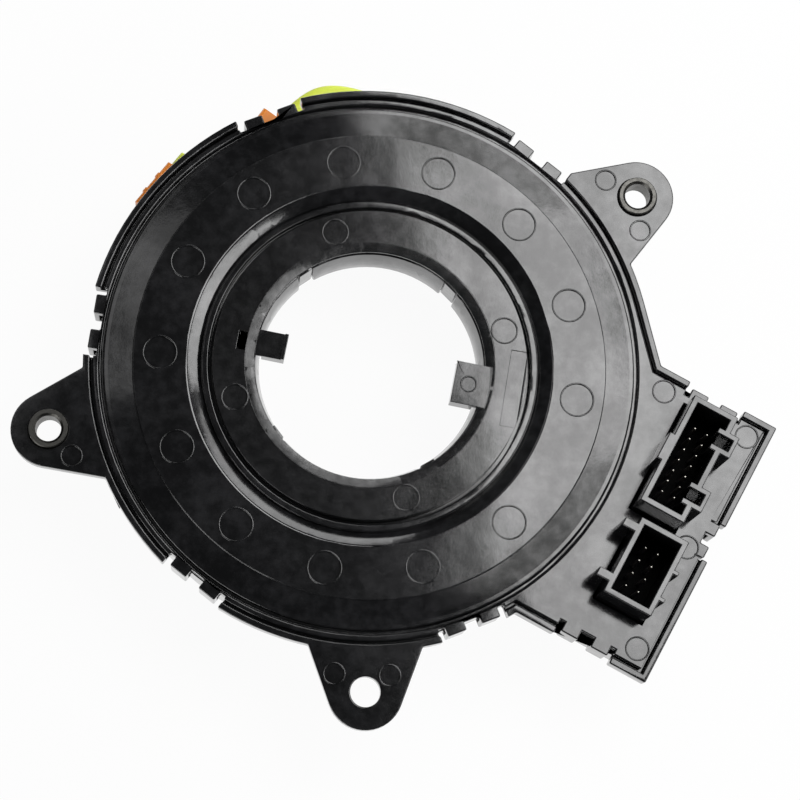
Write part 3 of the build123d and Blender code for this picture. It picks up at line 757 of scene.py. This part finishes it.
def loose_centres(mesh: bpy.types.Mesh) -> list[Plan]:
    """Finds the middles, seen along the axis, of the separate solids of a mesh.

    Args:
        mesh: A mesh of solids that touch nowhere.

    Returns:
        One point for each solid, sorted.
    """
    work = bmesh.new()
    work.from_mesh(mesh)
    bmesh.ops.remove_doubles(work, verts=work.verts, dist=MERGE)
    left = set(work.verts)
    middles = []
    while left:
        group, grow = set(), [left.pop()]
        while grow:
            corner = grow.pop()
            group.add(corner)
            for edge in corner.link_edges:
                other = edge.other_vert(corner)
                if other in left:
                    left.discard(other)
                    grow.append(other)
        xs = [corner.co.x for corner in group]
        ys = [corner.co.y for corner in group]
        middles.append(((min(xs) + max(xs)) / 2, (min(ys) + max(ys)) / 2))
    work.free()
    return sorted(middles)


def around(radius: float, angles: Sequence[float], z: float, size: float) -> list[Spot]:
    """Sets out spots on a circle round the axis.

    Args:
        radius: The circle's radius.
        angles: Directions of the spots, in degrees.
        z: Their height.
        size: Their own radius.

    Returns:
        The x, y, z and radius of each.
    """
    turned = [math.radians(angle) for angle in angles]
    return [(radius * math.cos(a), radius * math.sin(a), z, size) for a in turned]


def on_plate(places: Sequence[Plan], z: float, size: float) -> list[Spot]:
    """Sets out spots on the connector plate.

    Args:
        places: Their places along the plate's own directions.
        z: Their height.
        size: Their own radius.

    Returns:
        The x, y, z and radius of each.
    """
    c, s = math.cos(PLATE_TURN), math.sin(PLATE_TURN)
    return [(c * x - s * y, s * x + c * y, z, size) for x, y in places]


# ---------------------------------------------------------- places of the parts
# How the connector plate is turned, and with it both headers and their pins
PLATE_TURN = math.radians(-28.5)

# Ejector marks on the cover, on the ears and on the connector plate, and on the sleeve
COVER_MARKS = [-9.4 + 26.7 * k for k in range(13)]
COVER_SPOTS = [
    *around(40.35 * MM, COVER_MARKS, 26.9 * MM, 3.2 * MM),
    *around(59.6 * MM, [39.0, 27.4, 197.9, 263.5, 273.6], 26.0 * MM, 2.0 * MM),
    *on_plate(
        [(52.2 * MM, 23.1 * MM), (70.3 * MM, 23.0 * MM), (69.9 * MM, -1.7 * MM),
         (70.4 * MM, -23.5 * MM)],
        26.0 * MM, 2.2 * MM,
    ),
]
SLEEVE_SPOTS = [
    *around(26.8 * MM, [14.7 + 90.0 * k for k in range(4)], 27.0 * MM, 2.5 * MM),
    *around(19.3 * MM, [349.0], 26.6 * MM, 1.5 * MM),
]

# The routes of the two leads on the floor, from the outlet to the plug, as the CAD has them
ROUTE_A = [
    (0.03463, -0.02057), (0.04234, -0.01138), (0.0425, 0.0095), (0.0360, 0.0280),
    (0.0245, 0.0450), (0.0090, 0.0570), (-0.0036, 0.0624), (-0.01207, 0.06101),
    (-0.01707, 0.05413),
]
ROUTE_B = [
    (0.03064, -0.01723), (0.03772, -0.0088), (0.0370, 0.0100), (0.0280, 0.0275),
    (0.0115, 0.0380), (-0.0065, 0.0370), (-0.0195, 0.0275), (-0.0302, 0.0134),
    (-0.0398, 0.0116), (-0.0474, 0.0172), (-0.04864, 0.02658), (-0.04280, 0.03407),
]


# --------------------------------------------------------------- sub-assemblies
@dataclass
class Assembly:
    """What every sub-assembly can do: dress a piece and hand it to its body."""

    body: Body

    def dress(
        self, piece: bpy.types.Object, finish: Finish, slot: Slot, *nodes: str
    ) -> None:
        """Gives a piece its finish and body, and hides the CAD nodes that it stands for.

        Args:
            piece: The piece.
            finish: Its finish.
            slot: The record's material slot; not used.
            *nodes: The CAD nodes that it replaces.
        """
        piece.data.materials.clear()
        piece.data.materials.append(finish.material())
        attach(piece, self.body.value)
        if nodes:
            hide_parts(*nodes)
        log.info("%s rides on %s in %s", piece.name, self.body.value, finish.name)

    def round_node(
        self, node: str, name: str, width: float, finish: Finish, slot: Slot,
        sectors: Sequence[float] = (), clamp: bool = False,
    ) -> None:
        """Dresses a rounded copy of a CAD node.

        Args:
            node: The CAD node.
            name: The new piece's name.
            width: Width of the rounding.
            finish: Its finish.
            slot: The record's material slot.
            sectors: Directions of the cuts through the axis, in degrees.
            clamp: Whether the rounding stops where it would overlap.
        """
        self.dress(moulding(node, name, width, sectors, clamp), finish, slot, node)

    def coat(self, node: str, finish: Finish) -> None:
        """Gives its finish to a CAD node that stays.

        Args:
            node: The CAD node.
            finish: The finish.
        """
        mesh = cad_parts[node].data
        mesh.materials.clear()
        mesh.materials.append(finish.material())
        log.info("%s keeps its shape, in %s", node, finish.name)


@dataclass
class Housing(Assembly):
    """Moulded case and rear cover, with the two side bushes.

    The sectors are the planes through the axis that part the flat faces at their holes.
    """

    body: Body = Body.STATOR
    edge: float = 0.28 * MM
    case_sectors: Sequence[float] = (39.0, 27.4, 17.9, 83.5, 93.6, 3.0, 63.0, 123.0, 153.0)
    cover_sectors: Sequence[float] = tuple(angle % 180 for angle in COVER_MARKS)
    bore_r: float = 2.45 * MM
    bush_r: float = 3.7 * MM
    bush_low: float = 21.6 * MM
    bush_high: float = 27.1 * MM
    chamfer: float = 0.3 * MM
    sides: int = 72
    crease: float = 30.0

    def bush(self, name: str, node: str) -> None:
        """Turns a bush with chamfered mouths in the place of its CAD node.

        Args:
            name: The new piece's name.
            node: The CAD node.
        """
        low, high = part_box(node)
        centre = ((low.x + high.x) / 2, (low.y + high.y) / 2, 0.0)
        rim, mouth = 0.5 * self.chamfer, 1.6 * self.chamfer
        profile = [
            (self.bore_r, self.bush_low + self.chamfer),
            (self.bore_r + self.chamfer, self.bush_low),
            (self.bush_r - rim, self.bush_low),
            (self.bush_r, self.bush_low + rim),
            (self.bush_r, self.bush_high - rim),
            (self.bush_r - rim, self.bush_high),
            (self.bore_r + mouth, self.bush_high),
            (self.bore_r, self.bush_high - mouth),
        ]
        piece = lathe(profile, centre, self.sides)
        smooth(piece, self.crease)
        self.dress(settle(piece, name), STEEL, Slot.BUSH, node)

    def build(self) -> None:
        """Builds the case, the cover and the bushes."""
        self.round_node(
            "stator_case", "case_moulding", self.edge, CASE, Slot.CASE, self.case_sectors
        )
        self.round_node(
            "rear_cover", "cover_moulding", self.edge, COVER, Slot.CASE, self.cover_sectors
        )
        self.bush("right_bush", "right_ear_bush")
        self.bush("left_bush", "left_ear_bush")


@dataclass
class Headers(Assembly):
    """The two plug-in headers with their contact pins, and the plate in the box below."""

    body: Body = Body.STATOR
    edge: float = 0.22 * MM
    carrier_edge: float = 0.2 * MM
    pin_w: float = 0.64 * MM
    pin_low: float = 13.8 * MM
    pin_high: float = 31.4 * MM
    pin_edge: float = 0.05 * MM
    taper: float = 0.9 * MM
    tip_share: float = 0.42
    crease: float = 30.0

    def pins(self, node: str, name: str) -> None:
        """Puts a tapered pin at the place of each pin of a CAD node.

        Args:
            node: The CAD node.
            name: The new piece's name.
        """
        half = self.pin_w / 2
        pin = block((-half, -half, self.pin_low), (half, half, self.pin_high - self.taper))
        bpy.ops.object.mode_set(mode="EDIT")
        pick_faces(pin, lambda middle, normal: normal.z > 0.9)
        bpy.ops.mesh.extrude_region_move(TRANSFORM_OT_translate={"value": (0, 0, self.taper)})
        bpy.ops.transform.resize(
            value=(self.tip_share, self.tip_share, 1), center_override=(0, 0, self.pin_high)
        )
        bpy.ops.mesh.select_all(action="SELECT")
        bpy.ops.mesh.bevel(offset=self.pin_edge, segments=1, affect="EDGES")
        bpy.ops.object.mode_set(mode="OBJECT")
        turn = Matrix.Rotation(PLATE_TURN, 4, "Z")
        copies = [
            twin(pin, Matrix.Translation((x, y, 0)) @ turn)
            for x, y in loose_centres(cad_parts[node].data)
        ]
        bpy.data.objects.remove(pin)
        piece = join(copies, name)
        smooth(piece, self.crease)
        self.dress(piece, TIN, Slot.PINS, node)

    def build(self) -> None:
        """Builds both shrouds, their pins and the plate below them."""
        self.round_node("upper_header", "upper_shroud", self.edge, SHROUD, Slot.CASE)
        self.round_node("lower_header", "lower_shroud", self.edge, SHROUD, Slot.CASE)
        self.pins("upper_header_pins", "upper_contacts")
        self.pins("lower_header_pins", "lower_contacts")
        self.round_node(
            "terminal_carrier", "carrier_plate", self.carrier_edge, INNER, Slot.INNER
        )


@dataclass
class Rotor(Assembly):
    """Hub, rear sleeve and the socket of the steering-wheel switches."""

    body: Body = Body.ROTOR
    edge: float = 0.26 * MM
    fine_edge: float = 0.1 * MM
    hub_sectors: Sequence[float] = tuple(3.0 + 30.0 * k for k in range(6))
    mark_sectors: Sequence[float] = (14.7, 104.7, 169.0)

    def build(self) -> None:
        """Builds the turning mouldings and the socket's contacts."""
        self.round_node(
            "rotor_hub", "hub_moulding", self.edge, HUB, Slot.HUB, self.hub_sectors
        )
        self.round_node(
            "rear_sleeve", "sleeve_moulding", self.fine_edge, SLEEVE, Slot.SLEEVE,
            (*self.mark_sectors, *self.hub_sectors),
        )
        self.round_node("rotor_connector", "switch_socket", self.edge, INNER, Slot.INNER)
        self.round_node(
            "rotor_connector_pins", "switch_contacts", self.fine_edge, TIN, Slot.PINS
        )


@dataclass
class Marks(Assembly):
    """Thin raised circles that ejector pins leave on a moulding's flat faces."""

    name: str
    finish: Finish
    slot: Slot
    spots: Sequence[Spot]
    bead: float = 0.16 * MM
    rise: float = 0.07 * MM
    crown: float = 0.064 * MM
    sides: int = 40
    crease: float = 80.0

    def build(self) -> None:
        """Turns one bead for each spot and joins them."""
        rings = []
        for x, y, z, radius in self.spots:
            profile = [
                (radius - self.bead, -self.bead),
                (radius + self.bead, -self.bead),
                (radius + self.bead, 0.0),
                (radius + self.crown, self.rise),
                (radius - self.crown, self.rise),
                (radius - self.bead, 0.0),
            ]
            rings.append(lathe(profile, (x, y, z), self.sides))
        piece = join(rings, self.name)
        smooth(piece, self.crease)
        self.dress(piece, self.finish, self.slot)


@dataclass
class Winding:
    """The wound ribbon with its clamps and the two slip sheets."""

    still: Assembly
    turning: Assembly
    edge: float = 0.2 * MM

    def build(self) -> None:
        """Builds the inner pieces."""
        self.still.coat("flat_cable", RIBBON)
        self.still.coat("rear_slip_sheet", SHEET)
        self.turning.coat("front_slip_sheet", SHEET)
        self.still.round_node(
            "stator_cable_clamp", "outer_clamp", self.edge, INNER, Slot.INNER
        )
        self.turning.round_node(
            "rotor_cable_clamp", "inner_clamp", self.edge, INNER, Slot.INNER
        )


@dataclass
class Pigtail(Assembly):
    """Airbag leads on the floor beside the hub, from their outlet to their plugs."""

    body: Body = Body.ROTOR
    outlet_edge: float = 0.4 * MM
    plug_edge: float = 0.2 * MM
    lead_r: float = 1.7 * MM
    length_a: float = 0.1219
    length_b: float = 0.1551
    round_steps: int = 5
    line_steps: int = 12

    def lead(self, name: str, route: Sequence[Plan], length: float, *ends: str) -> None:
        """Lays a lead along its route.

        Args:
            name: The lead's name, and the CAD node's.
            route: Its points on the floor.
            length: Its real length; not used.
            *ends: The pieces at its far end; not used.
        """
        curve = bpy.data.curves.new(name + "_line", "CURVE")
        curve.dimensions = "3D"
        curve.bevel_depth = self.lead_r
        curve.bevel_resolution = self.round_steps
        curve.resolution_u = self.line_steps
        curve.use_fill_caps = True
        line = curve.splines.new("NURBS")
        line.points.add(len(route) - 1)
        for point, (x, y) in zip(line.points, route):
            point.co = (x, y, self.lead_r, 1.0)
        line.order_u = 3
        line.use_endpoint_u = True
        piece = bpy.data.objects.new(name + "_sleeving", curve)
        bpy.context.scene.collection.objects.link(piece)
        self.dress(piece, YELLOW, Slot.LEAD, name)

    def build(self) -> None:
        """Builds the outlet, plugs, locks and leads."""
        self.round_node(
            "lead_outlet", "pigtail_outlet", self.outlet_edge, INNER, Slot.INNER
        )
        for letter in "ab":
            self.round_node(
                "squib_plug_" + letter, "plug_body_" + letter, self.plug_edge, ORANGE,
                Slot.PLUG, clamp=True,
            )
            self.round_node(
                "squib_lock_" + letter, "plug_lock_" + letter, self.plug_edge, LOCK, Slot.LOCK
            )
        self.lead("airbag_lead_a", ROUTE_A, self.length_a, "plug_body_a", "plug_lock_a")
        self.lead("airbag_lead_b", ROUTE_B, self.length_b, "plug_body_b", "plug_lock_b")


# ----------------------------------------------------------------------- studio
@dataclass
class Softbox:
    """A soft rectangular lamp that looks at a point."""

    name: str
    place: Point
    size: tuple[float, float]
    radiance: float
    aim: Point = (0.0, 0.0, 0.02)
    turn: float = 0.0

    def build(self) -> None:
        """Adds the lamp."""
        lamp = bpy.data.lights.new(self.name, "AREA")
        lamp.shape = "RECTANGLE"
        lamp.size, lamp.size_y = self.size
        lamp.energy = self.radiance * math.pi * self.size[0] * self.size[1]
        holder = bpy.data.objects.new(self.name, lamp)
        bpy.context.scene.collection.objects.link(holder)
        holder.location = self.place
        look = Vector(self.aim) - Vector(self.place)
        holder.rotation_mode = "QUATERNION"
        spin = Quaternion((0, 0, 1), math.radians(self.turn))
        holder.rotation_quaternion = look.to_track_quat("-Z", "Y") @ spin
        log.info("%s stands at %s", self.name, self.place)


# The lamps stand where the photograph's glossy faces mirror them. The strips light the cover's
# funnel and its outer edge, and the left card gives the pale crescent on the left.
LAMPS = (
    Softbox(
        "key_softbox", (0.219, 0.156, 0.515), (0.33, 0.365), 5.7,
        aim=(0.219, 0.156, 0), turn=11.5,
    ),
    Softbox("left_card", (-0.205, 0.20, 0.515), (0.18, 0.24), 1.2, aim=(-0.205, 0.20, 0)),
    Softbox("low_fill", (-0.52, -0.52, 0.22), (0.50, 0.34), 3.5),
    Softbox("right_strip", (0.463, -0.102, 0.310), (0.62, 0.13), 5.5, turn=-10.7),
    Softbox("top_strip", (0.238, 0.432, 0.190), (0.74, 0.12), 3.2, turn=-3.9),
)


@dataclass
class Studio:
    """Pale floor, soft light and the camera at the photograph's angle."""

    focal_px: float = 2601.0
    image_px: float = 800.0
    aim_px: Plan = (370.1, 364.6)
    sensor: float = 36.0
    aim: Point = (0.0, 0.0, 26 * MM)
    tilt: float = math.radians(12.1)
    swing: float = math.radians(-16.4)
    distance: float = 0.5
    floor_side: float = 8.0
    floor_drop: float = 0.05 * MM
    cloth: Colour = (0.86, 0.86, 0.86)
    glow_share: float = 0.95
    air: Colour = (0.92, 0.95, 1.0)
    air_strength: float = 0.05
    white: Colour = (1.0, 1.0, 1.0)

    def camera(self) -> None:
        """Adds the camera, with the small shift that frames the photograph."""
        back = Vector((
            math.sin(self.swing) * math.sin(self.tilt),
            -math.cos(self.swing) * math.sin(self.tilt),
            math.cos(self.tilt),
        ))
        up = (Vector((0, 1, 0)) - back * back.y).normalized()
        right = up.cross(back)
        lens = bpy.data.cameras.new("camera")
        lens.sensor_width = self.sensor
        lens.lens = self.sensor * self.focal_px / self.image_px
        lens.shift_x = 0.5 - self.aim_px[0] / self.image_px
        lens.shift_y = self.aim_px[1] / self.image_px - 0.5
        lens.clip_start, lens.clip_end = 0.01, 20.0
        holder = bpy.data.objects.new("camera", lens)
        bpy.context.scene.collection.objects.link(holder)
        turn = Matrix((right, up, back)).transposed().to_4x4()
        holder.matrix_world = Matrix.Translation(Vector(self.aim) + self.distance * back) @ turn
        bpy.context.scene.camera = holder

    def floor(self) -> None:
        """Adds a pale floor that is white to the eye and keeps a soft shadow."""
        deselect()
        bpy.ops.mesh.primitive_plane_add(
            size=self.floor_side, location=(0, 0, -self.floor_drop)
        )
        piece = settle(bpy.context.active_object, "floor")
        made = bpy.data.materials.new("floor_white")
        made.use_nodes = True
        graph = Graph(made.node_tree)
        seen = graph.add("ShaderNodeLightPath", output="Is Camera Ray")
        glossy = graph.add("ShaderNodeLightPath", output="Is Glossy Ray")
        through = graph.add("ShaderNodeLightPath", output="Is Transmission Ray")
        cloth = graph.add("ShaderNodeBsdfDiffuse", None, {"Color": rgba(self.cloth)})
        white = {"Color": rgba(self.white), "Strength": 1.0}
        glow = graph.add("ShaderNodeEmission", None, white)
        share = (seen + glossy + through).ramp(0.0, 1.0) * self.glow_share
        graph.finish(graph.mixed(share, cloth, glow))
        piece.data.materials.append(made)

    def sky(self) -> None:
        """Sets a dim room that is white where the camera looks past the floor."""
        world = bpy.data.worlds.new("room")
        bpy.context.scene.world = world
        world.use_nodes = True
        graph = Graph(world.node_tree)
        seen = graph.add("ShaderNodeLightPath", output="Is Camera Ray")
        room = {"Color": rgba(self.air), "Strength": self.air_strength}
        dim = graph.add("ShaderNodeBackground", None, room)
        white = {"Color": rgba(self.white), "Strength": 1.0}
        bright = graph.add("ShaderNodeBackground", None, white)
        graph.finish(graph.mixed(seen, dim, bright), "ShaderNodeOutputWorld")

    def build(self) -> None:
        """Builds the whole studio."""
        self.camera()
        self.floor()
        self.sky()
        for lamp in LAMPS:
            lamp.build()
        bpy.context.scene.view_settings.view_transform = "Standard"


def main() -> None:
    """Builds the sub-assemblies in order, then the studio."""
    logging.basicConfig(level=logging.INFO, format="%(name)s: %(message)s")
    housing, rotor = Housing(), Rotor()
    parts = (
        housing,
        Headers(),
        rotor,
        Marks(Body.STATOR, "cover_marks", CASE, Slot.CASE, COVER_SPOTS),
        Marks(Body.ROTOR, "sleeve_marks", SLEEVE, Slot.SLEEVE, SLEEVE_SPOTS),
        Winding(housing, rotor),
        Pigtail(),
        Studio(),
    )
    for part in parts:
        part.build()
        log.info("built %s", type(part).__name__)


if __name__ == "__main__":
    main()
